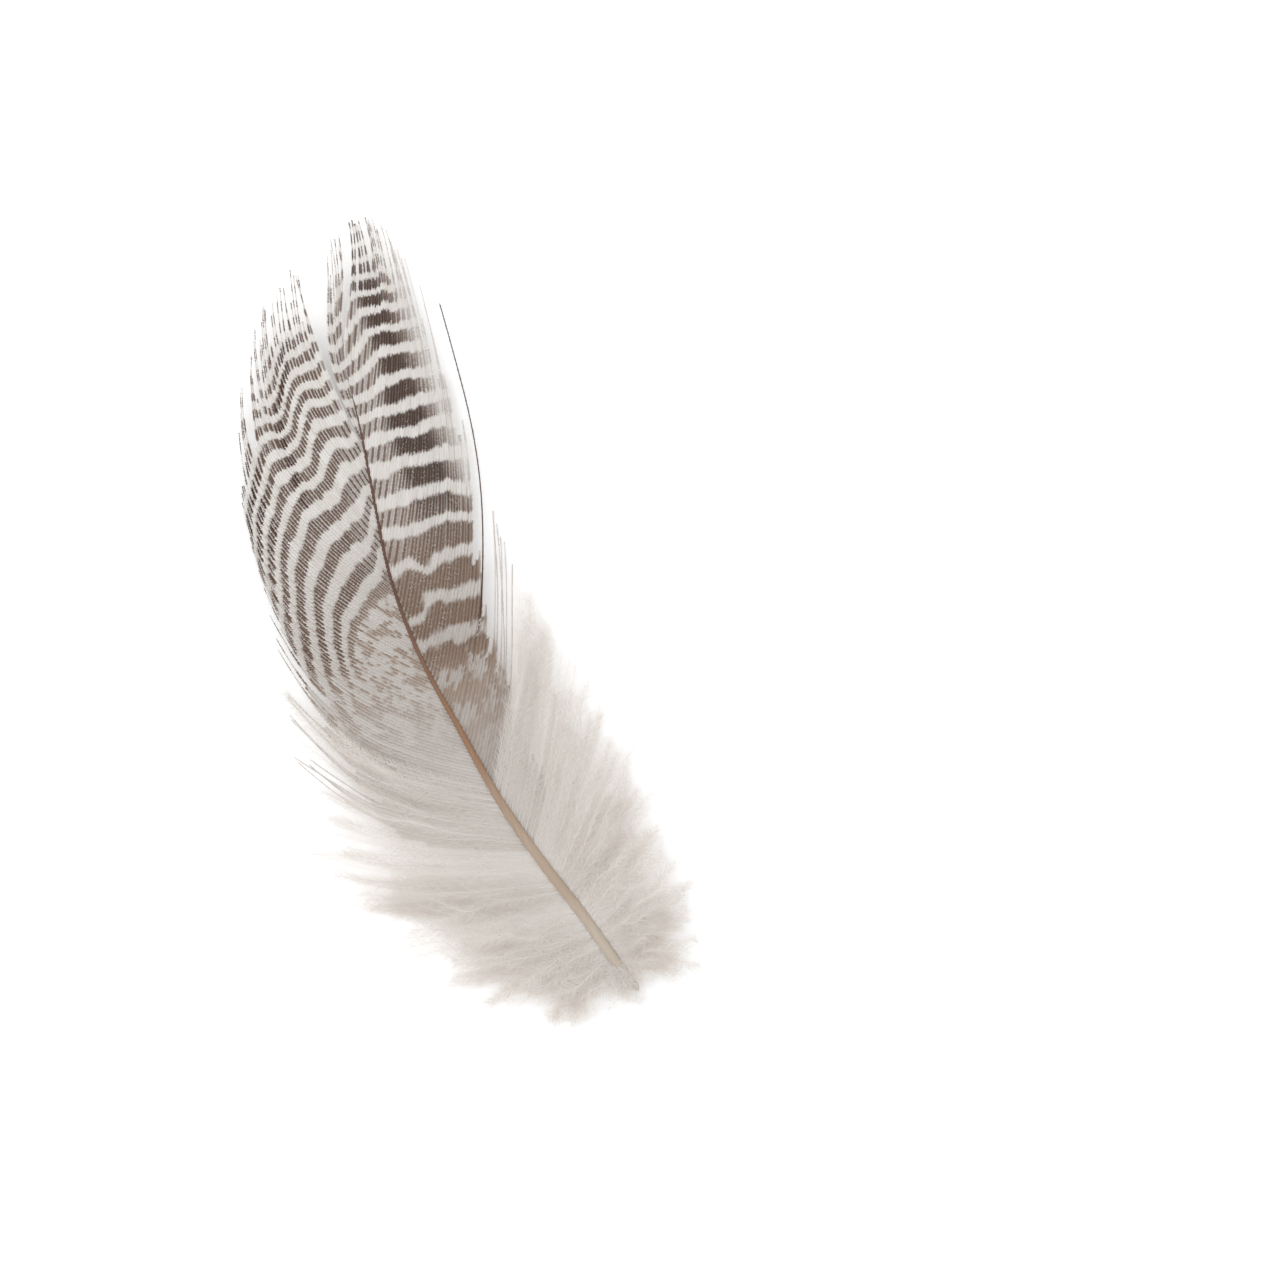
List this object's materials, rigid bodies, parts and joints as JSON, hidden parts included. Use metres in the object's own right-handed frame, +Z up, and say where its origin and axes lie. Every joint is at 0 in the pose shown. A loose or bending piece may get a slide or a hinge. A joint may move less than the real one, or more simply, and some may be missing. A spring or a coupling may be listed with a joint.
{
  "type": "flank feather",
  "caption": "Curved body feather of a small duck: tapering horny shaft, finely barred vanes parted into locks, soft down at the base; lies outer side up.",
  "frame": {"origin": "middle of the feather's plan, on the flat surface that it lies on", "axes": "+Y runs from the quill to the tip, +Z is up from the surface through the outer side, +X is to the right seen from above with the tip away"},
  "size_m": [0.0298, 0.0694, 0.0033],
  "materials": {
    "shaft_horn": "satin horn, ivory at the quill and reddish brown above the middle",
    "barred_vane": "matte barbs, warm off-white crossed by wavy dark brown bars",
    "white_down": "soft matte warm white down"
  },
  "bodies": {
    "root": {"shaft": "shaft_horn", "left_vane": "barred_vane", "right_vane": "barred_vane"}
  },
  "joints": []
}
